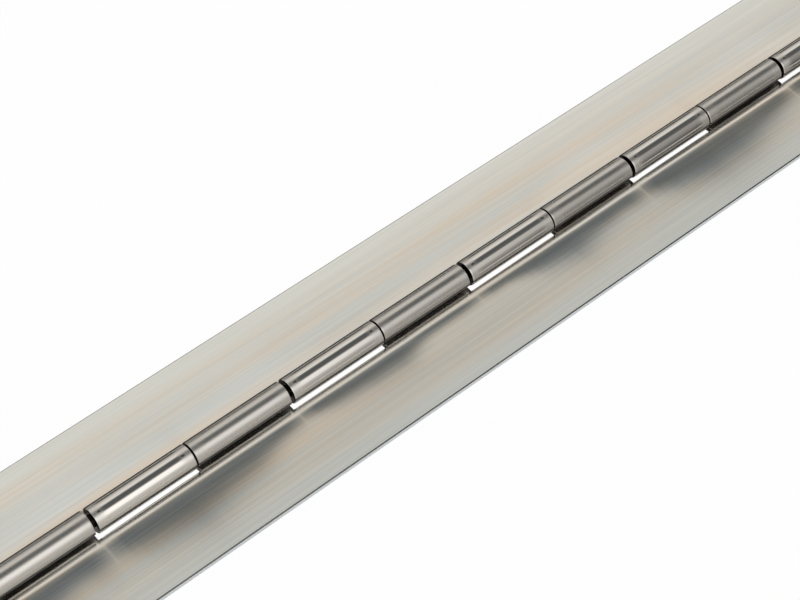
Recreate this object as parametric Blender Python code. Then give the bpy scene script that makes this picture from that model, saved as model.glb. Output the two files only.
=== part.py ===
"""Continuous (piano) hinge: two steel leaves with rolled knuckles that interleave on one long pin.

Frame: +X along the pin, +Y towards the back leaf, +Z up. The origin lies under the middle of the
pin, on the plane that carries both leaves when the hinge is open flat. Lengths are in metres.
"""
import math

import bmesh
import bpy

MM = 0.001

# stock sizes
PITCH = 25.4 * MM            # one knuckle and one gap between knuckles, along the pin
KNUCKLES = 12                # knuckles on the pin, the two leaves by turns
LEAF_WIDTH = 22.225 * MM     # pin axis to the outer edge of a leaf
SHEET = 1.50 * MM            # thickness of the sheet that both leaves are rolled from
PIN_DIAMETER = 3.00 * MM     # hinge pin

# fits
BORE_CLEARANCE = 0.08 * MM   # between the pin and the inside of a knuckle, on the radius
KNUCKLE_GAP = 0.70 * MM      # mean gap between neighbouring knuckles
END_PLAY = 0.30 * MM         # how far the two leaves stand apart along the pin within that gap
NOTCH_CLEARANCE = 0.60 * MM  # between a knuckle and the notch it turns in
WRAP = math.radians(277.0)   # how far a knuckle is rolled, from the underside of its leaf to its tip

# fineness
TURN_STEPS = 48              # flat facets in a full turn

BORE_RADIUS = PIN_DIAMETER / 2 + BORE_CLEARANCE
KNUCKLE_RADIUS = BORE_RADIUS + SHEET
NOTCH_LINE = KNUCKLE_RADIUS + NOTCH_CLEARANCE
LENGTH = KNUCKLES * PITCH
AXIS_Z = KNUCKLE_RADIUS


def clear_file():
    for item in list(bpy.data.objects):
        bpy.data.objects.remove(item, do_unlink=True)


def steel(name, colour, roughness):
    material = bpy.data.materials.new(name)
    material.use_nodes = True
    shader = material.node_tree.nodes["Principled BSDF"]
    shader.inputs["Base Color"].default_value = (*colour, 1.0)
    shader.inputs["Metallic"].default_value = 1.0
    shader.inputs["Roughness"].default_value = roughness
    return material


def add_object(name, mesh_data, material):
    """Adds the mesh as an object whose origin lies on the pin axis."""
    mesh = bpy.data.meshes.new(name)
    mesh_data.normal_update()
    mesh_data.to_mesh(mesh)
    mesh_data.free()
    mesh.materials.append(material)
    item = bpy.data.objects.new(name, mesh)
    item.location = (0.0, 0.0, AXIS_Z)
    bpy.context.scene.collection.objects.link(item)
    return item


def leaf_section():
    """Rows of (outer point, inner point) across the leaf, from its outer edge to the tip of the roll.

    The points are (y, z) about the pin axis for a leaf that lies towards +Y.
    """
    rows = []
    for y in (LEAF_WIDTH, NOTCH_LINE, 0.0):
        rows.append(((y, -KNUCKLE_RADIUS), (y, -BORE_RADIUS)))
    steps = round(TURN_STEPS * WRAP / math.tau)
    for step in range(1, steps + 1):
        turn = WRAP * step / steps
        across = -math.sin(turn)
        up = -math.cos(turn)
        outer = (KNUCKLE_RADIUS * across, KNUCKLE_RADIUS * up)
        inner = (BORE_RADIUS * across, BORE_RADIUS * up)
        rows.append((outer, inner))
    return rows


def knuckle_spans(first):
    """Start and end, along the pin, of every second knuckle from the one with index first."""
    spans = []
    for index in range(first, KNUCKLES, 2):
        start = -LENGTH / 2 + index * PITCH
        end = start + PITCH
        if index > 0:
            start += KNUCKLE_GAP / 2
        if index < KNUCKLES - 1:
            end -= KNUCKLE_GAP / 2
        spans.append((start, end))
    return spans


def leaf_mesh(side, first, shift):
    """A leaf as one closed shell: side is +1 for the back leaf and -1 for the front leaf."""
    rows = leaf_section()
    spans = knuckle_spans(first)
    lines = sorted({-LENGTH / 2, LENGTH / 2} | {x for span in spans for x in span})
    in_knuckle = []
    for start, end in zip(lines, lines[1:]):
        middle = (start + end) / 2
        in_knuckle.append(any(a < middle < b for a, b in spans))

    columns = len(lines) - 1
    bands = len(rows) - 1

    def present(column, band):
        if not (0 <= column < columns and 0 <= band < bands):
            return False
        return band == 0 or in_knuckle[column]

    shell = bmesh.new()
    corners = {}

    def corner(line, row, face):
        key = (line, row, face)
        if key not in corners:
            y, z = rows[row][face]
            corners[key] = shell.verts.new((lines[line] + shift, side * y, z))
        return corners[key]

    def quad(points):
        verts = [corner(*point) for point in points]
        if side > 0:
            verts.reverse()
        shell.faces.new(verts)

    for column in range(columns):
        for band in range(bands):
            if not present(column, band):
                continue
            a, b = column, column + 1
            p, q = band, band + 1
            quad(((a, p, 0), (a, q, 0), (b, q, 0), (b, p, 0)))
            quad(((a, p, 1), (b, p, 1), (b, q, 1), (a, q, 1)))
            if not present(column - 1, band):
                quad(((a, p, 0), (a, p, 1), (a, q, 1), (a, q, 0)))
            if not present(column + 1, band):
                quad(((b, p, 0), (b, q, 0), (b, q, 1), (b, p, 1)))
            if not present(column, band - 1):
                quad(((a, p, 0), (b, p, 0), (b, p, 1), (a, p, 1)))
            if not present(column, band + 1):
                quad(((a, q, 0), (a, q, 1), (b, q, 1), (b, q, 0)))
    return shell


def pin_mesh():
    """The pin as a closed round bar along X, centred on its axis."""
    bar = bmesh.new()
    radius = PIN_DIAMETER / 2
    rings = []
    for x in (-LENGTH / 2, LENGTH / 2):
        ring = []
        for step in range(TURN_STEPS):
            turn = math.tau * (step + 0.5) / TURN_STEPS
            ring.append(bar.verts.new((x, radius * math.cos(turn), radius * math.sin(turn))))
        rings.append(ring)
    near, far = rings
    for step in range(TURN_STEPS):
        after = (step + 1) % TURN_STEPS
        bar.faces.new((near[step], near[after], far[after], far[step]))
    bar.faces.new(list(reversed(near)))
    bar.faces.new(far)
    return bar


def main():
    clear_file()
    sheet_finish = steel("leaf_steel", (0.62, 0.61, 0.58), 0.28)
    pin_finish = steel("pin_steel", (0.50, 0.49, 0.47), 0.35)
    add_object("front_leaf", leaf_mesh(-1, 1, -END_PLAY / 2), sheet_finish)
    add_object("back_leaf", leaf_mesh(1, 0, END_PLAY / 2), sheet_finish)
    add_object("hinge_pin", pin_mesh(), pin_finish)


main()
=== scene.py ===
import math

import bpy
from mathutils import Matrix, Vector


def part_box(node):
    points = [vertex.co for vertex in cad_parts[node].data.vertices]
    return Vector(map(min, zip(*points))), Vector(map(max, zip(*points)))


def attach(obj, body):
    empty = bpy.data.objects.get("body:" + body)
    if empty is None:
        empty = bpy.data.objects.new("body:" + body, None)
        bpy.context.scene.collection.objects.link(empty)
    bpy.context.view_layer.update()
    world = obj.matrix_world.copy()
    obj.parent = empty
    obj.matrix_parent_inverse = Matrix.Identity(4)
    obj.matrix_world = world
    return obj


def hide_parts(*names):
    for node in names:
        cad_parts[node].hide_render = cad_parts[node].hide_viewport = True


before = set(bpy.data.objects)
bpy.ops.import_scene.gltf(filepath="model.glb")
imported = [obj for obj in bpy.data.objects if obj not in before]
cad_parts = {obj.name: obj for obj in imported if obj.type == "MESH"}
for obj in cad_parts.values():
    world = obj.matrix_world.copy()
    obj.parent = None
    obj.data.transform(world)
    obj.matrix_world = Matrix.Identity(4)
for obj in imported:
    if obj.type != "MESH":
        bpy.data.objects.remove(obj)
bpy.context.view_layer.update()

MM = 0.001

# ---------------------------------------------------------------- sizes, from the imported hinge
PIN_LOW, PIN_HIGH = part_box("hinge_pin")
FRONT_LOW, FRONT_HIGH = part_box("front_leaf")
BACK_LOW, BACK_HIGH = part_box("back_leaf")

LENGTH = PIN_HIGH.x - PIN_LOW.x
KNUCKLES = 12
PITCH = LENGTH / KNUCKLES
KNUCKLE_GAP = 0.70 * MM
SHEET = 1.50 * MM
KNUCKLE_RADIUS = 3.08 * MM
BORE_RADIUS = KNUCKLE_RADIUS - SHEET
AXIS_Z = (PIN_LOW.z + PIN_HIGH.z) / 2
PIN_RADIUS = 1.50 * MM
LEAF_WIDTH = BACK_HIGH.y
NOTCH_LINE = KNUCKLE_RADIUS + 0.60 * MM
WRAP = math.radians(277.0)
TIP_LINE = -WRAP * (BORE_RADIUS + SHEET / 2)
FRONT_SHIFT = (FRONT_LOW.x + FRONT_HIGH.x) / 2
BACK_SHIFT = (BACK_LOW.x + BACK_HIGH.x) / 2
EDGE_ROUND = 0.20 * MM

TIP_BURR = 0.16 * MM

# the low ridge that the curling die leaves on the leaf beside the knuckles
RIDGE_START = 0.9 * MM  # off the pin's axis, where the sheet begins to climb
RIDGE_REACH = 5.6 * MM  # how far it falls away at its widest
RIDGE_FALL = 1.45  # higher for a rounder top and a steeper fall
WIDEST_AT = -95 * MM  # along the pin, and again every WIDEST_EVERY
WIDEST_EVERY = 170 * MM
NOTCH_TO_WIDEST = 10 * MM  # from the middle of a notch to the widest place beside it
CREASE_WIDTH = 2.0 * MM

HAIR = 0.0001 * MM  # nearer than this is the same place


# ---------------------------------------------------------------- small helpers
def linear(hex_colour):
    """An sRGB hex colour such as "c8c4ba" as a linear RGBA tuple."""
    channels = [int(hex_colour[i:i + 2], 16) / 255 for i in (0, 2, 4)]
    return tuple(c / 12.92 if c <= 0.04045 else ((c + 0.055) / 1.055) ** 2.4 for c in channels) + (1.0,)


def add(tree, kind, settings=None, values=None, links=None):
    """Adds a node: settings are its properties, values its sockets' values, links the outputs they take."""
    node = tree.nodes.new(kind)
    for name, value in (settings or {}).items():
        setattr(node, name, value)
    for name, value in (values or {}).items():
        node.inputs[name].default_value = value
    for name, output in (links or {}).items():
        tree.links.new(output, node.inputs[name])
    return node


def short_forms(tree):
    """Math and Map Range nodes written short: each term is a number or another node's output."""
    def plug(socket, term):
        if isinstance(term, (int, float)):
            socket.default_value = term
        else:
            tree.links.new(term, socket)

    def calc(operation, *terms):
        node = add(tree, "ShaderNodeMath", {"operation": operation})
        for socket, term in zip(node.inputs, terms):
            plug(socket, term)
        return node.outputs[0]

    def fade(value, low, high, low_gives=0.0, high_gives=1.0, kind="SMOOTHSTEP"):
        """low_gives up to low, high_gives from high on, and a fade between them."""
        node = add(tree, "ShaderNodeMapRange", {"interpolation_type": kind})
        terms = {"Value": value, "From Min": low, "From Max": high, "To Min": low_gives,
                 "To Max": high_gives}
        for name, term in terms.items():
            plug(node.inputs[name], term)
        return node.outputs[0]

    return calc, fade


def set_ramp(node, stops):
    """Gives a Color Ramp its stops, as (position, RGBA)."""
    ramp = node.color_ramp
    while len(ramp.elements) > 1:
        ramp.elements.remove(ramp.elements[-1])
    ramp.elements[0].position, ramp.elements[0].color = stops[0]
    for position, colour in stops[1:]:
        ramp.elements.new(position).color = colour
    return node


# ---------------------------------------------------------------- the punched blank of a leaf
def rounded_steps(start, direction, round_size):
    """Lines that follow a rounded edge: from the edge inwards, then one more where the flat begins."""
    offsets = [round_size * (1 - math.cos(math.radians(a))) for a in (0, 22.5, 45, 67.5, 90)]
    offsets.append(round_size * 1.5)
    return [start + direction * offset for offset in offsets]


def spread(low, high, count):
    """count evenly spaced lines strictly between low and high."""
    return [low + (high - low) * (i + 1) / (count + 1) for i in range(count)]


def knuckle_spans(first):
    """Where every second knuckle from the first one begins and ends along the pin."""
    spans = []
    for index in range(first, KNUCKLES, 2):
        start = -LENGTH / 2 + index * PITCH
        end = start + PITCH
        if index > 0:
            start += KNUCKLE_GAP / 2
        if index < KNUCKLES - 1:
            end -= KNUCKLE_GAP / 2
        spans.append((start, end))
    return spans


def merged(lines, closest):
    """Sorted lines with those nearer than closest to the one before dropped."""
    kept = []
    for line in sorted(lines):
        if not kept or line - kept[-1] > closest:
            kept.append(line)
    return kept


def blank_lines(spans):
    """Where the blank is divided along the pin and across it: closely at edges, notches and bends."""
    edge = EDGE_ROUND
    close_lines_to = 11 * MM
    x_lines = rounded_steps(-LENGTH / 2, 1, edge) + rounded_steps(LENGTH / 2, -1, edge)
    for start, end in spans:
        x_lines += rounded_steps(start, 1, edge) + rounded_steps(end, -1, edge)
        x_lines += [start - edge, start - 2.5 * edge, end + edge, end + 2.5 * edge]
        x_lines += spread(start + 3 * edge, end - 3 * edge, 11)
        x_lines += spread(end + 3 * edge, end + PITCH - 3 * edge, 9)
        x_lines += spread(start - PITCH + 3 * edge, start - 3 * edge, 9)
    x_lines = [x for x in x_lines if abs(x) <= LENGTH / 2 + HAIR]

    y_lines = rounded_steps(LEAF_WIDTH, -1, edge) + spread(NOTCH_LINE + 2 * edge, close_lines_to, 18)
    y_lines += spread(close_lines_to, LEAF_WIDTH - 2 * edge, 12)
    y_lines += rounded_steps(NOTCH_LINE, 1, edge) + [NOTCH_LINE - edge, NOTCH_LINE - 2.5 * edge]
    y_lines += spread(0.0, NOTCH_LINE - 3 * edge, 4) + [0.0]
    y_lines += rounded_steps(TIP_LINE, 1, edge) + spread(TIP_LINE + 2 * edge, 0.0, 76)
    return merged(x_lines, 0.008 * MM), merged(y_lines, 0.004 * MM)


def span_at(spans, x):
    """The knuckle at x, or None in a notch."""
    for start, end in spans:
        if start - HAIR <= x <= end + HAIR:
            return start, end
    return None


def to_outline(spans, x, y):
    """How far a point of the blank is from its outline."""
    far = min(LENGTH / 2 - abs(x), LEAF_WIDTH - y)
    span = span_at(spans, x)
    if span is None:
        return min(far, y - NOTCH_LINE)
    # a knuckle's ends count as outline, but not where they are the ends of the hinge
    past_ends = [past for past, end in ((x - span[0], span[0]), (span[1] - x, span[1]))
                 if abs(end) < LENGTH / 2 - HAIR]
    if y < NOTCH_LINE:
        return min([far, y - TIP_LINE] + past_ends)
    return min([far] + [math.hypot(past, y - NOTCH_LINE) for past in past_ends])


def blank_mesh(name, first):
    """The flat blank of a leaf before rolling.

    X runs along the pin. Y is the way along the sheet: positive on the leaf, negative on the strips that
    are rolled into knuckles, measured on the sheet's middle. Z is the height in the sheet.
    """
    spans = knuckle_spans(first)
    x_lines, y_lines = blank_lines(spans)
    columns = len(x_lines) - 1
    rows = len(y_lines) - 1

    def present(column, row):
        if not (0 <= column < columns and 0 <= row < rows):
            return False
        if y_lines[row] > NOTCH_LINE - HAIR:
            return True
        return span_at(spans, (x_lines[column] + x_lines[column + 1]) / 2) is not None

    verts, faces, index = [], [], {}

    def corner(line, row, top):
        key = (line, row, top)
        if key not in index:
            x, y = x_lines[line], y_lines[row]
            short = EDGE_ROUND - min(EDGE_ROUND, max(0.0, to_outline(spans, x, y)))
            drop = EDGE_ROUND - math.sqrt(EDGE_ROUND ** 2 - short ** 2)
            index[key] = len(verts)
            verts.append((x, y, SHEET - drop if top else drop))
        return index[key]

    for column in range(columns):
        for row in range(rows):
            if not present(column, row):
                continue
            a, b, p, q = column, column + 1, row, row + 1
            faces.append([corner(a, p, 1), corner(b, p, 1), corner(b, q, 1), corner(a, q, 1)])
            faces.append([corner(a, p, 0), corner(a, q, 0), corner(b, q, 0), corner(b, p, 0)])
            if not present(column - 1, row):
                faces.append([corner(a, p, 0), corner(a, p, 1), corner(a, q, 1), corner(a, q, 0)])
            if not present(column + 1, row):
                faces.append([corner(b, p, 0), corner(b, q, 0), corner(b, q, 1), corner(b, p, 1)])
            if not present(column, row - 1):
                faces.append([corner(a, p, 0), corner(b, p, 0), corner(b, p, 1), corner(a, p, 1)])
            if not present(column, row + 1):
                faces.append([corner(a, q, 0), corner(a, q, 1), corner(b, q, 1), corner(b, q, 0)])
    mesh = bpy.data.meshes.new(name)
    mesh.from_pydata(verts, [], faces)
    mesh.update()
    return mesh


# ---------------------------------------------------------------- rolling the blank, with Geometry Nodes
def ridge_rise(tree, given, x, y):
    """How far the leaf stands up beside the knuckles, at each point of the sheet."""
    calc, fade = short_forms(tree)
    # its reach: wide by turns at every second knuckle, in a long wave and unevenly
    in_turn = calc("DIVIDE", calc("SUBTRACT", x, given["Ridge Centre"]), given["Two Pitches"])
    swing = calc("COSINE", calc("MULTIPLY", in_turn, math.tau))
    wave = calc("COSINE", calc("MULTIPLY", calc("SUBTRACT", x, WIDEST_AT), math.tau / WIDEST_EVERY))
    wander = calc("ADD", calc("MULTIPLY", x, 60.0), calc("MULTIPLY", given["Side"], 11.0))
    slow = add(tree, "ShaderNodeTexNoise", {"noise_dimensions": "1D"}, {"Scale": 1.0, "Detail": 2.0},
               {"W": wander}).outputs[0]
    uneven = calc("ADD", calc("MULTIPLY_ADD", wave, 0.30, 0.50), calc("MULTIPLY_ADD", slow, 0.4, -0.2))
    share = calc("MAXIMUM", calc("ADD", uneven, calc("MULTIPLY", swing, 0.20)), 0.22)
    reach = calc("MULTIPLY", share, given["Ridge Reach"])

    # a straight climb from the knuckles, then a soft fall
    outward = calc("MAXIMUM", calc("SUBTRACT", y, given["Ridge Line"]), 0.0)
    spent = calc("POWER", calc("DIVIDE", outward, reach), RIDGE_FALL)
    fall = calc("EXPONENT", calc("MULTIPLY", spent, -1.0))
    climb = fade(y, RIDGE_START, given["Ridge Line"], kind="LINEAR")
    ridge = calc("MULTIPLY", calc("MULTIPLY", fall, climb), given["Ridge Height"])

    # it breaks off where a knuckle begins, at every second joint
    half_turn = calc("MULTIPLY", given["Two Pitches"], 0.5)
    past_joint = calc("PINGPONG", calc("SUBTRACT", x, given["Crease"]), half_turn)
    near_joint = calc("POWER", calc("DIVIDE", past_joint, CREASE_WIDTH), 2.0)
    crease = calc("EXPONENT", calc("MULTIPLY", near_joint, -1.0))
    tall = calc("MULTIPLY", share, calc("MULTIPLY_ADD", crease, -0.55, 1.0))
    return calc("MULTIPLY", ridge, tall)


def roll_tree(sizes, material):
    """Geometry Nodes that bend the flat blank into a leaf: the strips below Y = 0 wrap round the pin axis.

    sizes gives the tree its named inputs. The sheet also stands up in a low ridge beside the knuckles, as a
    strip does that has been through a curling die. The sheared tip of each roll is a little uneven.
    """
    tree = bpy.data.node_groups.new("roll_leaf", "GeometryNodeTree")
    tree.interface.new_socket("Blank", in_out="INPUT", socket_type="NodeSocketGeometry")
    for name in sizes:
        tree.interface.new_socket(name, in_out="INPUT", socket_type="NodeSocketFloat")
    tree.interface.new_socket("Leaf", in_out="OUTPUT", socket_type="NodeSocketGeometry")
    given = add(tree, "NodeGroupInput").outputs

    calc, fade = short_forms(tree)
    place = add(tree, "GeometryNodeInputPosition").outputs[0]
    axes = add(tree, "ShaderNodeSeparateXYZ", links={0: place}).outputs
    x, y, height = axes[0], axes[1], axes[2]

    # uneven tip: a short random reach, only over the last half millimetre of the roll
    along = calc("MULTIPLY", x, 900.0)
    grain = add(tree, "ShaderNodeTexNoise", {"noise_dimensions": "1D"}, {"Scale": 1.0, "Detail": 2.0},
                {"W": calc("ADD", along, calc("MULTIPLY", given["Side"], 37.0))}).outputs[0]
    near_tip = fade(y, calc("ADD", given["Tip Line"], 0.5 * MM), given["Tip Line"])
    burr = calc("MULTIPLY", near_tip, calc("SUBTRACT", grain, 0.5))
    y = calc("ADD", y, calc("MULTIPLY", burr, given["Tip Burr"]))

    # the flat part
    rise = ridge_rise(tree, given, x, y)
    flat_z = calc("ADD", calc("SUBTRACT", height, given["Knuckle Radius"]), rise)

    # the rolled part
    neutral = calc("SUBTRACT", given["Knuckle Radius"], calc("MULTIPLY", given["Sheet"], 0.5))
    turn = calc("DIVIDE", calc("MULTIPLY", y, -1.0), neutral)
    radius = calc("SUBTRACT", given["Knuckle Radius"], height)
    roll_y = calc("MULTIPLY", calc("MULTIPLY", radius, calc("SINE", turn)), -1.0)
    roll_z = calc("MULTIPLY", calc("MULTIPLY", radius, calc("COSINE", turn)), -1.0)

    on_roll = calc("LESS_THAN", y, 0.0)

    def rolled_or_flat(flat, roll):
        return add(tree, "ShaderNodeMix", {"data_type": "FLOAT"},
                   links={0: on_roll, 2: flat, 3: roll}).outputs[0]

    across = rolled_or_flat(y, roll_y)
    up = rolled_or_flat(flat_z, roll_z)
    moved = add(tree, "ShaderNodeCombineXYZ", links={
        0: calc("ADD", x, given["Shift"]), 1: calc("MULTIPLY", across, given["Side"]),
        2: calc("ADD", up, given["Axis Height"])}).outputs[0]
    bent = add(tree, "GeometryNodeSetPosition",
               links={"Geometry": given["Blank"], "Position": moved}).outputs[0]
    facing = add(tree, "GeometryNodeFlipFaces", links={
        "Mesh": bent, "Selection": calc("LESS_THAN", given["Side"], 0.0)}).outputs[0]
    smooth = add(tree, "GeometryNodeSetShadeSmooth", links={"Geometry": facing}).outputs[0]
    whole = add(tree, "GeometryNodeRealizeInstances", links={"Geometry": smooth}).outputs[0]
    finished = add(tree, "GeometryNodeSetMaterial", values={"Material": material}, links={"Geometry": whole})
    add(tree, "NodeGroupOutput", links={"Leaf": finished.outputs[0]})
    return tree


def rolled_leaf(name, first, side, shift, ridge_centre, ridge_line, ridge_height, material):
    """A finished leaf as a plain mesh, in its place.

    first is the number of its first knuckle, and side is 1 behind the pin and -1 in front of it.
    """
    sizes = {
        "Knuckle Radius": KNUCKLE_RADIUS, "Sheet": SHEET, "Axis Height": AXIS_Z, "Side": float(side),
        "Shift": shift, "Ridge Height": ridge_height, "Ridge Reach": RIDGE_REACH, "Ridge Line": ridge_line,
        "Two Pitches": 2 * PITCH, "Ridge Centre": ridge_centre,
        "Crease": ridge_centre - NOTCH_TO_WIDEST - 0.5 * PITCH, "Tip Burr": TIP_BURR, "Tip Line": TIP_LINE,
    }
    tree = roll_tree(sizes, material)
    shaper = bpy.data.objects.new(name + "_blank", blank_mesh(name + "_blank", first))
    bpy.context.scene.collection.objects.link(shaper)
    modifier = shaper.modifiers.new("roll", "NODES")
    modifier.node_group = tree
    for item in tree.interface.items_tree:
        if item.in_out == "INPUT" and item.name in sizes:
            modifier[item.identifier] = sizes[item.name]
    bpy.context.view_layer.update()
    evaluated = shaper.evaluated_get(bpy.context.evaluated_depsgraph_get())
    mesh = bpy.data.meshes.new_from_object(evaluated)
    mesh.name = name
    bpy.data.objects.remove(shaper)
    piece = bpy.data.objects.new(name, mesh)
    bpy.context.scene.collection.objects.link(piece)
    return piece


# ---------------------------------------------------------------- the pin
def turned_pin(name, material):
    """The pin: a drawn wire with lightly broken end edges."""
    chamfer = 0.25 * MM
    half = LENGTH / 2
    profile = [(-half, 0.0), (-half, PIN_RADIUS - chamfer)]
    for angle in (15, 30, 45, 60, 75, 90):
        turn = math.radians(angle)
        profile.append((-half + chamfer * (1 - math.cos(turn)), PIN_RADIUS - chamfer * (1 - math.sin(turn))))
    middle = [(x, PIN_RADIUS) for x in spread(-half + chamfer, half - chamfer, 24)]
    stations = profile + middle + [(-x, radius) for x, radius in reversed(profile)]
    around = 96
    verts, faces, rings = [], [], []
    for x, radius in stations:
        if radius == 0.0:
            rings.append([len(verts)])
            verts.append((x, 0.0, AXIS_Z))
            continue
        ring = []
        for step in range(around):
            turn = math.tau * step / around
            ring.append(len(verts))
            verts.append((x, radius * math.cos(turn), AXIS_Z + radius * math.sin(turn)))
        rings.append(ring)
    for one, two in zip(rings, rings[1:]):
        for step in range(around):
            after = (step + 1) % around
            if len(one) == 1:
                faces.append((one[0], two[after], two[step]))
            elif len(two) == 1:
                faces.append((one[step], one[after], two[0]))
            else:
                faces.append((one[step], one[after], two[after], two[step]))
    mesh = bpy.data.meshes.new(name)
    mesh.from_pydata(verts, [], faces)
    mesh.polygons.foreach_set("use_smooth", [True] * len(mesh.polygons))
    mesh.materials.append(material)
    mesh.update()
    piece = bpy.data.objects.new(name, mesh)
    bpy.context.scene.collection.objects.link(piece)
    return piece


# ---------------------------------------------------------------- finishes
def drawn_noise(tree, place, line, length, detail, offset=0.0):
    """Noise drawn out along the pin, in lines of the given width and length."""
    mapped = add(tree, "ShaderNodeMapping", values={
        "Scale": (1 / length, 1 / line, 1 / line), "Location": (offset, offset * 1.7, offset * 0.3)},
        links={"Vector": place}).outputs[0]
    return add(tree, "ShaderNodeTexNoise", values={"Scale": 1.0, "Detail": detail, "Roughness": 0.55},
               links={"Vector": mapped}).outputs[0]


def strip_zones(tree, place, dimples):
    """Where a leaf is rolled or scuffed, and where shade or light is painted on it: its sheared ends,
    dimples, outer rims, roll flanks, notch edges and lighter outer margin. Each is 1 there and 0 elsewhere.
    """
    calc, fade = short_forms(tree)
    axes = add(tree, "ShaderNodeSeparateXYZ", links={0: place}).outputs
    normal = add(tree, "ShaderNodeTexCoord").outputs["Normal"]
    facing = add(tree, "ShaderNodeSeparateXYZ", links={0: normal}).outputs
    off_axis = calc("ABSOLUTE", axes[1])
    way_round = calc("ARCTAN2", calc("SUBTRACT", axes[2], AXIS_Z), axes[1])
    upright = calc("ABSOLUTE", facing[2])

    def turned(low, high):
        """Fades in between two angles round the pin, in degrees from the back leaf over the top."""
        return fade(way_round, math.radians(low), math.radians(high))

    knuckle = fade(off_axis, 3.4 * MM, 3.15 * MM, kind="LINEAR")
    margin = fade(off_axis, 0.55 * LEAF_WIDTH, LEAF_WIDTH)

    # sheared faces across the pin, but not the sawn ends of the hinge; they are painted nearly black as
    # painted shade in the joints
    inside = calc("LESS_THAN", calc("ABSOLUTE", axes[0]), LENGTH / 2 - 1 * MM)
    sheared = calc("MULTIPLY", fade(calc("ABSOLUTE", facing[0]), 0.90, 0.99, kind="LINEAR"), inside)

    # the last millimetres of each roll are scuffed; near each end, on top, a small dimple is painted as a
    # dark spot of painted shade
    from_end = calc("PINGPONG", calc("ADD", axes[0], LENGTH / 2), PITCH / 2)
    scuffed = fade(from_end, 4.2 * MM, 1.6 * MM)
    dimple_x = calc("DIVIDE", calc("SUBTRACT", from_end, 2.1 * MM), 0.65 * MM)
    dimple_turn = calc("DIVIDE", calc("SUBTRACT", way_round, math.radians(102)), math.radians(7))
    spot = add(tree, "ShaderNodeCombineXYZ", links={0: dimple_x, 1: dimple_turn}).outputs[0]
    off_spot = add(tree, "ShaderNodeVectorMath", {"operation": "LENGTH"}, links={0: spot}).outputs["Value"]
    dimple_shade = fade(off_spot, 1.0, 0.3, high_gives=dimples)

    # painted shade: the rounded corners of the outer edges are painted darker
    outer = calc("GREATER_THAN", off_axis, LEAF_WIDTH - 0.22 * MM)
    rim_shade = calc("MULTIPLY", outer, fade(upright, 0.10, 0.30, kind="LINEAR"))

    # painted shade, dark and dull, low on both flanks of the rolls and on the edges of the notches
    far_flank = calc("MULTIPLY", turned(60, 47), turned(8, 22))
    flanks = calc("MULTIPLY", calc("MAXIMUM", far_flank, turned(160, 176)), knuckle)
    past_notch = calc("GREATER_THAN", off_axis, NOTCH_LINE - 0.2 * MM)
    up_to_notch = calc("LESS_THAN", off_axis, NOTCH_LINE + 0.06 * MM)
    edge_on = fade(upright, 0.5, 0.2, kind="LINEAR")
    notch = calc("MULTIPLY", calc("MULTIPLY", past_notch, up_to_notch), edge_on)
    painted_shade = calc("MAXIMUM", flanks, notch)
    return {"knuckle": knuckle, "margin": margin, "sheared": sheared, "scuffed": scuffed, "dimple_shade": dimple_shade,
            "rim_shade": rim_shade, "painted_shade": painted_shade}


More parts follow.
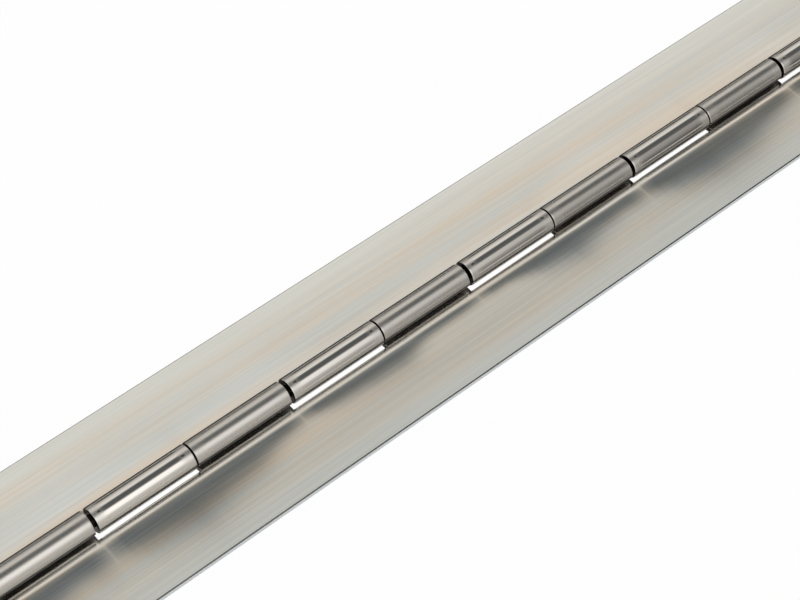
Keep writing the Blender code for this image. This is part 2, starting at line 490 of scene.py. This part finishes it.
def cold_rolled_strip(name, side, knuckle_gloss, roll_hex, margin_light_hex, dimples):
    """Bright cold-rolled stainless strip, burnished where the curling die ran over the knuckles.

    The eye sees long drawn lines along the pin, faint warm and cool bands in the leaf with an outer margin
    painted lighter and cooler as a painted reflection, and harder, cleaner reflections on the knuckles. The
    roll ends are scuffed, with small dimples painted as dark spots of painted shade. Painted shade also lies
    dark where the knuckles turn under, on the notch edges, and nearly black on the sheared ends.
    """
    material = bpy.data.materials.new(name)
    material.use_nodes = True
    tree = material.node_tree
    shader = tree.nodes["Principled BSDF"]
    calc, fade = short_forms(tree)
    place = add(tree, "ShaderNodeTexCoord").outputs["Object"]
    fine = drawn_noise(tree, place, 0.30 * MM, 42 * MM, 3.0, 3.1 * side)
    middle = drawn_noise(tree, place, 0.9 * MM, 80 * MM, 2.0, 5.3 * side)
    broad = drawn_noise(tree, place, 4.2 * MM, 120 * MM, 1.0, 9.7 * side)
    zone = strip_zones(tree, place, dimples)

    def stained(colour, where, hex_colour):
        return add(tree, "ShaderNodeMix", {"data_type": "RGBA"}, {7: linear(hex_colour)},
                   {0: where, 6: colour}).outputs[2]

    def blended(where, off, on):
        node = add(tree, "ShaderNodeMix", {"data_type": "FLOAT"}, links={0: where, 2: off})
        if isinstance(on, float):
            node.inputs[3].default_value = on
        else:
            tree.links.new(on, node.inputs[3])
        return node.outputs[0]

    # faint warm and cool bands, an outer margin painted lighter and cooler as a painted reflection, and a
    # little light and dark in the lines
    bands = add(tree, "ShaderNodeValToRGB", links={0: broad})
    set_ramp(bands, [(0.34, linear("d5d9d9")), (0.50, linear("dad8d3")), (0.66, linear("dfd7cc"))])
    # painted reflection: the outer margin is painted lighter and cooler
    leaf = stained(bands.outputs[0], zone["margin"], margin_light_hex)
    shade = fade(middle, 0.3, 0.7, 0.975, 1.02, "LINEAR")
    lined = add(tree, "ShaderNodeMix", {"data_type": "RGBA", "blend_type": "MULTIPLY"}, {0: 1.0},
                {6: leaf, 7: shade}).outputs[2]
    colour = stained(lined, zone["knuckle"], roll_hex)
    # painted shade: the end faces in the joints between knuckles are painted nearly black
    colour = stained(colour, zone["sheared"], "2a2520")
    # painted shade: a darker spot where each dimple lies, with no dent in the mesh
    colour = stained(colour, zone["dimple_shade"], "6a655e")
    # painted shade along the rounded outer edges
    colour = stained(colour, zone["rim_shade"], "6f6c66")
    # painted shade: near-black on the flanks of the rolls and on the notch edges
    colour = stained(colour, zone["painted_shade"], "221e1a")
    tree.links.new(colour, shader.inputs["Base Color"])

    # where shade is painted, the surface is also much less metallic and duller
    tree.links.new(fade(zone["painted_shade"], 0.0, 1.0, 1.0, 0.1, "LINEAR"), shader.inputs["Metallic"])
    leaf_gloss = fade(fine, 0.3, 0.7, 0.13, 0.19, "LINEAR")
    roll_gloss = fade(zone["scuffed"], 0.0, 1.0, knuckle_gloss, 0.30, "LINEAR")
    gloss = blended(zone["knuckle"], leaf_gloss, roll_gloss)
    tree.links.new(blended(zone["painted_shade"], gloss, 0.58), shader.inputs["Roughness"])
    shader.inputs["Anisotropic"].default_value = 0.5
    grain_way = add(tree, "ShaderNodeTangent", {"direction_type": "RADIAL", "axis": "X"}).outputs[0]
    tree.links.new(grain_way, shader.inputs["Tangent"])

    # the drawn lines stand a little proud, less on the burnished knuckles
    lines = calc("MULTIPLY_ADD", fine, 0.5, middle)
    strength = calc("MULTIPLY", fade(zone["knuckle"], 0.0, 1.0, 1.0, 0.35, "LINEAR"), 0.38)
    bump = add(tree, "ShaderNodeBump", values={"Distance": 0.012 * MM}, links={
        "Strength": strength, "Height": lines}).outputs[0]
    tree.links.new(bump, shader.inputs["Normal"])
    return material


def shade_dark_wire(name):
    """Drawn steel wire, coloured dull brown-black as painted shade for where it sits in the dark knuckles.
    """
    material = bpy.data.materials.new(name)
    material.use_nodes = True
    tree = material.node_tree
    shader = tree.nodes["Principled BSDF"]
    _, fade = short_forms(tree)
    place = add(tree, "ShaderNodeTexCoord").outputs["Object"]
    mapped = add(tree, "ShaderNodeMapping", values={
        "Scale": (1 / (6 * MM), 1 / (0.4 * MM), 1 / (0.4 * MM))}, links={"Vector": place}).outputs[0]
    mottle = add(tree, "ShaderNodeTexNoise", values={"Scale": 1.0, "Detail": 3.0}, links={"Vector": mapped})
    tone = add(tree, "ShaderNodeValToRGB", links={0: mottle.outputs[0]})
    # painted shade: the pin is coloured near black
    set_ramp(tone, [(0.35, linear("211d19")), (0.65, linear("38322b"))])
    tree.links.new(tone.outputs[0], shader.inputs["Base Color"])
    shader.inputs["Metallic"].default_value = 1.0
    gloss = fade(mottle.outputs[0], 0.0, 1.0, 0.30, 0.42, "LINEAR")
    tree.links.new(gloss, shader.inputs["Roughness"])
    return material


# ---------------------------------------------------------------- the hinge
# the last colour given to each is its outer margin, painted lighter and cooler as a painted reflection
front_steel = cold_rolled_strip("cold_rolled_strip_front", -1, 0.25, "ccc9c4", "e7edf0", 0.0)
back_steel = cold_rolled_strip("cold_rolled_strip_back", 1, 0.11, "d8d5d0", "dfe1de", 0.9)
pin_steel = shade_dark_wire("shade_dark_drawn_wire")

# beside the notches the sheet stands up most: the front leaf's notches hold the back leaf's knuckles
first_front_notch = -LENGTH / 2 + 2.5 * PITCH
first_back_notch = -LENGTH / 2 + 1.5 * PITCH
front = rolled_leaf("front_leaf_rolled", 1, -1, FRONT_SHIFT, first_front_notch + NOTCH_TO_WIDEST,
                    5.3 * MM, 0.66 * MM, front_steel)
back = rolled_leaf("back_leaf_rolled", 0, 1, BACK_SHIFT, first_back_notch + NOTCH_TO_WIDEST,
                   4.1 * MM, 0.14 * MM, back_steel)
pin = turned_pin("hinge_pin_drawn", pin_steel)

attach(front, "fixed_leaf")
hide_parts("front_leaf")
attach(back, "swing_leaf")
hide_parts("back_leaf")
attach(pin, "fixed_leaf")
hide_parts("hinge_pin")


# ---------------------------------------------------------------- floor and studio light
def pale_floor():
    """A plain white floor below the reach of the leaf at its lowest.

    The metal mirrors mostly its unlit paper, which leaves the undersides of the knuckles dark.
    """
    half = 3.0
    level = -0.024
    mesh = bpy.data.meshes.new("floor")
    corners = [(-half, -half, level), (half, -half, level), (half, half, level), (-half, half, level)]
    mesh.from_pydata(corners, [], [(0, 1, 2, 3)])
    floor = bpy.data.objects.new("floor", mesh)
    bpy.context.scene.collection.objects.link(floor)
    material = bpy.data.materials.new("white_paper_floor")
    material.use_nodes = True
    tree = material.node_tree
    tree.nodes.clear()
    paper = add(tree, "ShaderNodeBsdfDiffuse", values={"Color": (0.9, 0.9, 0.9, 1.0)})
    glow = add(tree, "ShaderNodeEmission", values={"Color": (1.0, 1.0, 1.0, 1.0), "Strength": 1.0})
    ray = add(tree, "ShaderNodeLightPath").outputs
    calc, _ = short_forms(tree)
    seen = calc("MINIMUM", calc("ADD", ray["Is Camera Ray"], ray["Is Transmission Ray"]), 1.0)
    share = calc("MULTIPLY_ADD", seen, 0.97, calc("MULTIPLY", ray["Is Glossy Ray"], 0.12))
    mixed = add(tree, "ShaderNodeMixShader", links={0: share, 1: paper.outputs[0], 2: glow.outputs[0]})
    add(tree, "ShaderNodeOutputMaterial", links={"Surface": mixed.outputs[0]})
    mesh.materials.append(material)


def studio_tent():
    """A light tent: bright back wall, a darker seam overhead, a soft key over the camera's shoulder.

    The tent's light changes with the angle round the hinge's length. The key fades towards +X, and
    a lit wall closes the tent at that end.
    """
    world = bpy.data.worlds.new("light_tent")
    bpy.context.scene.world = world
    world.use_nodes = True
    tree = world.node_tree
    tree.nodes.clear()
    way = add(tree, "ShaderNodeTexCoord").outputs["Generated"]
    axes = add(tree, "ShaderNodeSeparateXYZ", links={0: way}).outputs
    calc, fade = short_forms(tree)
    share = calc("DIVIDE", calc("ARCTAN2", axes[2], axes[1]), math.pi)

    def at(degrees, *rgb):
        return degrees / 180, (*rgb, 1.0)

    walls = add(tree, "ShaderNodeValToRGB", links={0: share})
    set_ramp(walls, [
        at(0, 0.05, 0.05, 0.04), at(14, 0.12, 0.11, 0.10), at(26, 0.60, 0.58, 0.54),
        at(42, 0.88, 0.85, 0.81), at(52, 0.98, 0.96, 0.93), at(60, 0.98, 0.95, 0.90),
        at(64, 0.82, 0.74, 0.62), at(68, 0.26, 0.27, 0.27), at(72, 0.11, 0.135, 0.15),
        at(84, 0.11, 0.12, 0.125), at(104, 0.15, 0.14, 0.13), at(114, 0.36, 0.35, 0.34),
        at(146, 0.28, 0.27, 0.26), at(162, 0.18, 0.17, 0.16), at(180, 0.08, 0.08, 0.07)])
    key = add(tree, "ShaderNodeValToRGB", links={0: share})
    set_ramp(key, [at(104, 0.0, 0.0, 0.0), at(117, 1.2, 1.2, 1.18), at(140, 1.15, 1.15, 1.13),
                   at(154, 0.55, 0.54, 0.52), at(180, 0.58, 0.55, 0.50)])
    lit_ends = calc("MAXIMUM", fade(axes[0], 0.60, 0.24), fade(axes[0], 0.615, 0.69))
    lit = add(tree, "ShaderNodeMix", {"data_type": "RGBA", "blend_type": "ADD", "clamp_result": False},
              links={0: lit_ends, 6: walls.outputs[0], 7: key.outputs[0]}).outputs[2]
    tent = add(tree, "ShaderNodeBackground", values={"Strength": 1.0}, links={"Color": lit})
    white = add(tree, "ShaderNodeBackground", values={"Color": (1.0, 1.0, 1.0, 1.0), "Strength": 1.0})
    ray = add(tree, "ShaderNodeLightPath").outputs
    mixed = add(tree, "ShaderNodeMixShader", links={
        0: ray["Is Camera Ray"], 1: tent.outputs[0], 2: white.outputs[0]})
    add(tree, "ShaderNodeOutputWorld", links={"Surface": mixed.outputs[0]})


def soft_lamp():
    """A broad overhead lamp that gives the floor its soft shadow; the metal doesn't mirror it."""
    lamp = bpy.data.lights.new("overhead_softbox", "AREA")
    lamp.shape = "RECTANGLE"
    lamp.size = 0.9
    lamp.size_y = 0.6
    lamp.energy = 1.5
    item = bpy.data.objects.new("overhead_softbox", lamp)
    item.location = (-0.15, -0.25, 0.9)
    aim = Vector((0.0, 0.0, 0.0)) - item.location
    item.rotation_euler = aim.to_track_quat("-Z", "Y").to_euler()
    item.visible_glossy = False
    bpy.context.scene.collection.objects.link(item)


def camera():
    """A short telephoto above the front leaf's near end, looking along the pin and down at it."""
    azimuth, elevation, roll = math.radians(44.45), math.radians(53.18), math.radians(4.80)
    forward = Vector((math.sin(azimuth) * math.cos(elevation), math.cos(azimuth) * math.cos(elevation),
                      -math.sin(elevation)))
    right = forward.cross(Vector((0, 0, 1))).normalized()
    up = right.cross(forward)
    tilted_right = math.cos(roll) * right + math.sin(roll) * up
    tilted_up = math.cos(roll) * up - math.sin(roll) * right
    lens = bpy.data.cameras.new("camera")
    lens.sensor_width = 36.0
    lens.lens = 94.08
    lens.clip_start = 0.01
    lens.clip_end = 20.0
    item = bpy.data.objects.new("camera", lens)
    bpy.context.scene.collection.objects.link(item)
    turn = Matrix((tilted_right, tilted_up, -forward)).transposed().to_4x4()
    item.matrix_world = Matrix.Translation(Vector((-0.20932, -0.19410, 0.37276))) @ turn
    bpy.context.scene.camera = item


pale_floor()
studio_tent()
soft_lamp()
camera()
bpy.context.scene.view_settings.view_transform = "Standard"
